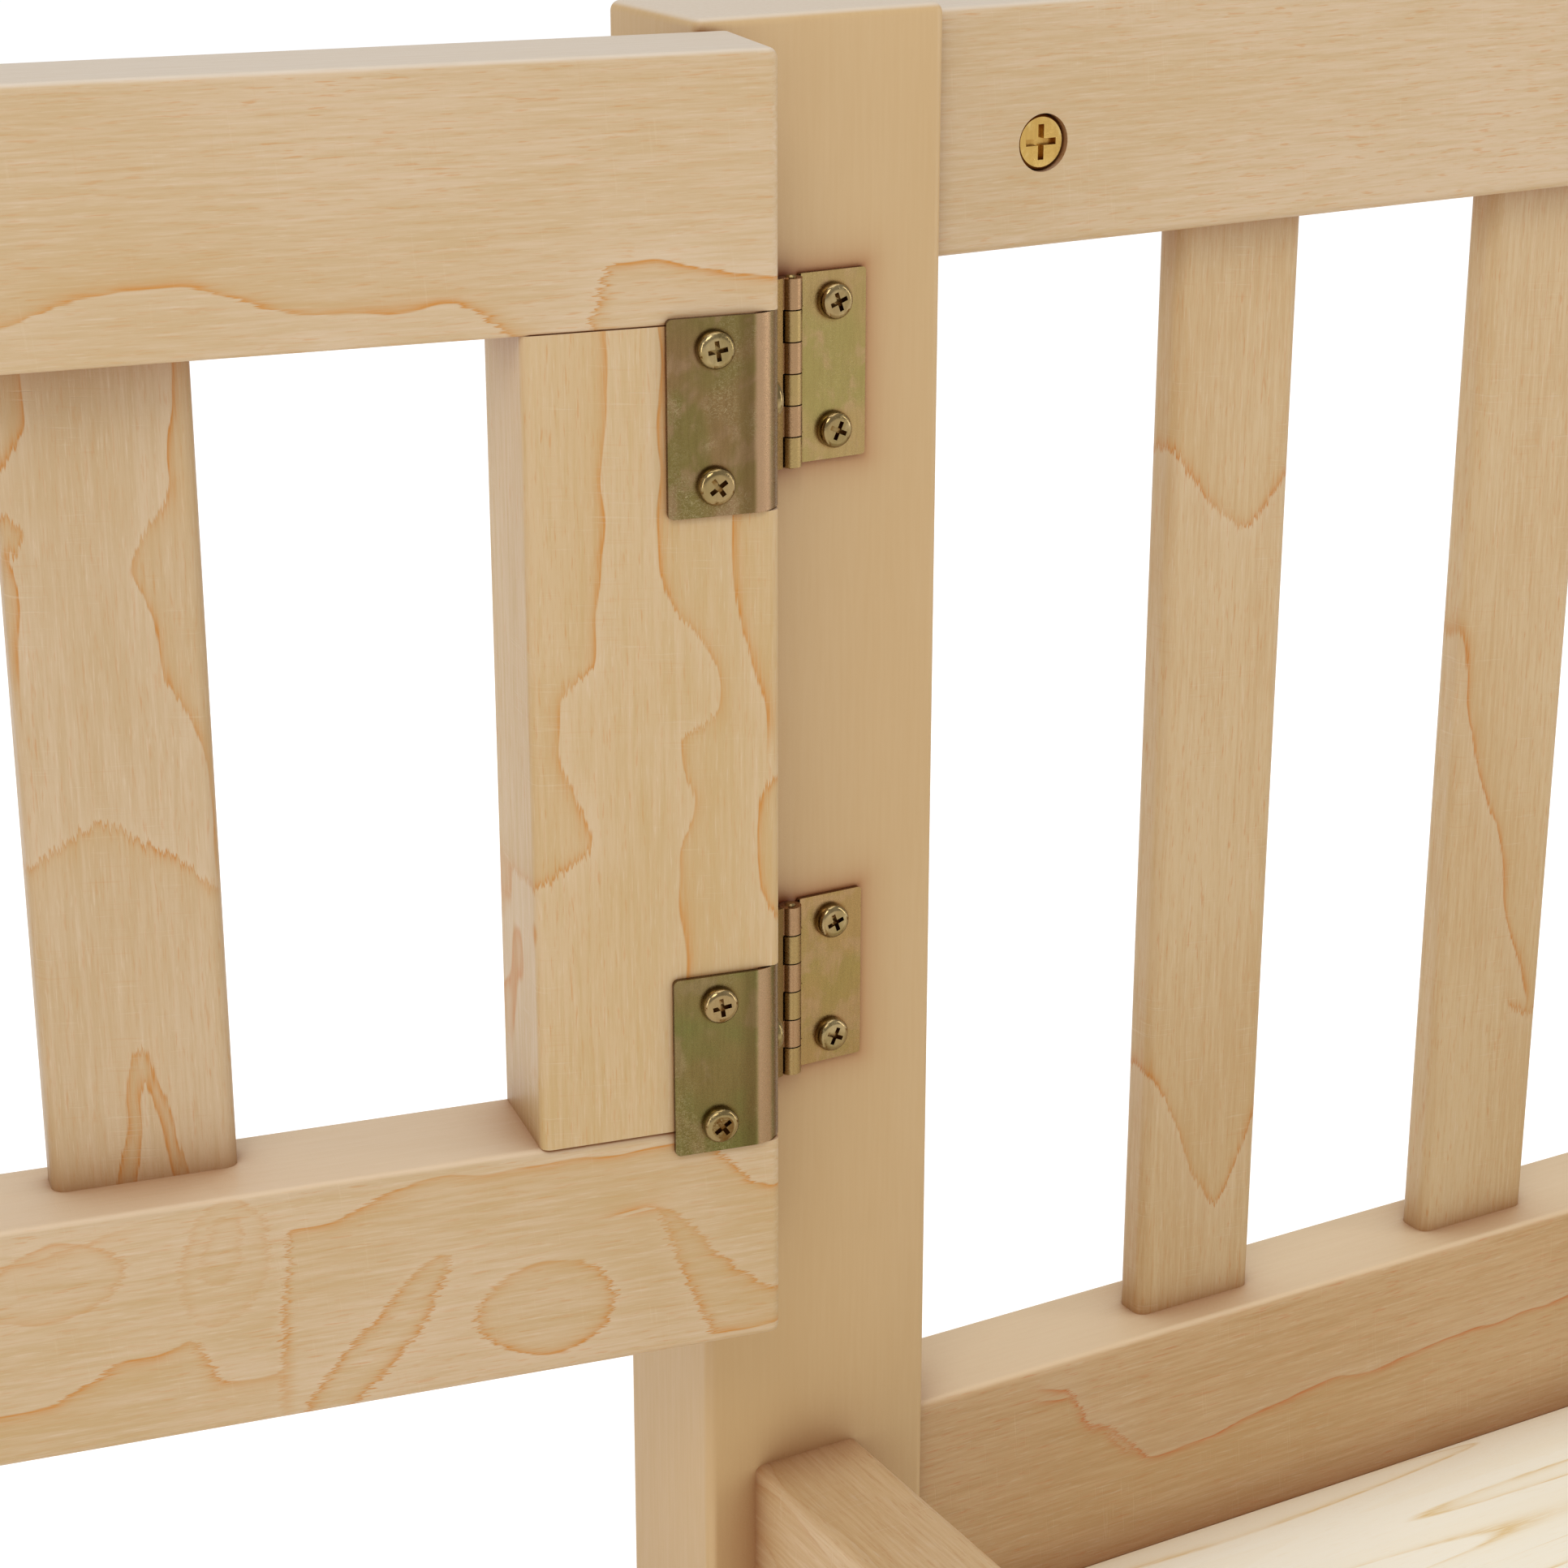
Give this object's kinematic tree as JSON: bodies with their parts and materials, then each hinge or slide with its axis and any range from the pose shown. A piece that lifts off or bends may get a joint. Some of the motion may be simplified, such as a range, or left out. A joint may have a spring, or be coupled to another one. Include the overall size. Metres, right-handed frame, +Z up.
{
  "type": "safety baby gate",
  "caption": "Wooden safety gate: slatted leaf on wrap-round hinges with a slide latch, between posts, beside a fixed slatted panel on a low base.",
  "frame": {"origin": "on the floor under the centre of the hinge post", "axes": "+X along the fixed panel, +Y to the outer side of the fence, +Z up"},
  "size_m": [1.123, 0.3999, 0.435],
  "materials": {
    "birch": "clear satin lacquer on pale birch",
    "post_wood": "clear satin lacquer, plain grain",
    "deck_wood": "bare pale plywood",
    "zinc": "yellow-passivated zinc plate",
    "brass": "yellow zinc or brass, turned"
  },
  "bodies": {
    "frame": {"hinge_post": "post_wood", "end_post": "post_wood", "latch_post": "post_wood", "panel_top_rail": "birch", "panel_bottom_rail": "birch", "panel_slat_1": "birch", "panel_slat_2": "birch", "panel_slat_3": "birch", "panel_slat_4": "birch", "latch_beam": "birch", "hinge_beam": "birch", "end_beam": "birch", "threshold_rail": "birch", "deck_board": "deck_wood", "deck_ledger_left": "birch", "deck_ledger_right": "birch", "deck_ledger_screws": "zinc", "connector_bolts": "zinc", "barrel_nuts": "brass", "frame_dowels": "birch", "upper_hinge_post_leaf": "zinc", "lower_hinge_post_leaf": "zinc", "upper_hinge_pin": "zinc", "lower_hinge_pin": "zinc", "hinge_post_screws": "zinc", "keeper_block": "birch", "keeper_block_screws": "zinc", "latch_keeper": "zinc", "keeper_screws": "zinc"},
    "leaf": {"leaf_top_rail": "birch", "leaf_bottom_rail": "birch", "leaf_hinge_stile": "birch", "leaf_latch_stile": "birch", "leaf_slat_1": "birch", "leaf_slat_2": "birch", "leaf_slat_3": "birch", "leaf_dowels": "birch", "upper_hinge_wrap_leaf": "zinc", "lower_hinge_wrap_leaf": "zinc", "hinge_wrap_screws": "zinc", "latch_base": "zinc", "latch_screws": "zinc"},
    "latch_rod": {"latch_bolt": "zinc", "latch_knob": "zinc"}
  },
  "joints": [
    {"name": "leaf_swing", "type": "hinge", "parent": "frame", "child": "leaf", "pos_m": [-0.0095, -0.0228, 0.289], "axis": [0, 0, 1], "range_deg": [0, 100]},
    {"name": "latch_slide", "type": "slide", "parent": "leaf", "child": "latch_rod", "axis": [-0.9845, 0.1754, 0], "range_m": [0, 0.024]}
  ]
}
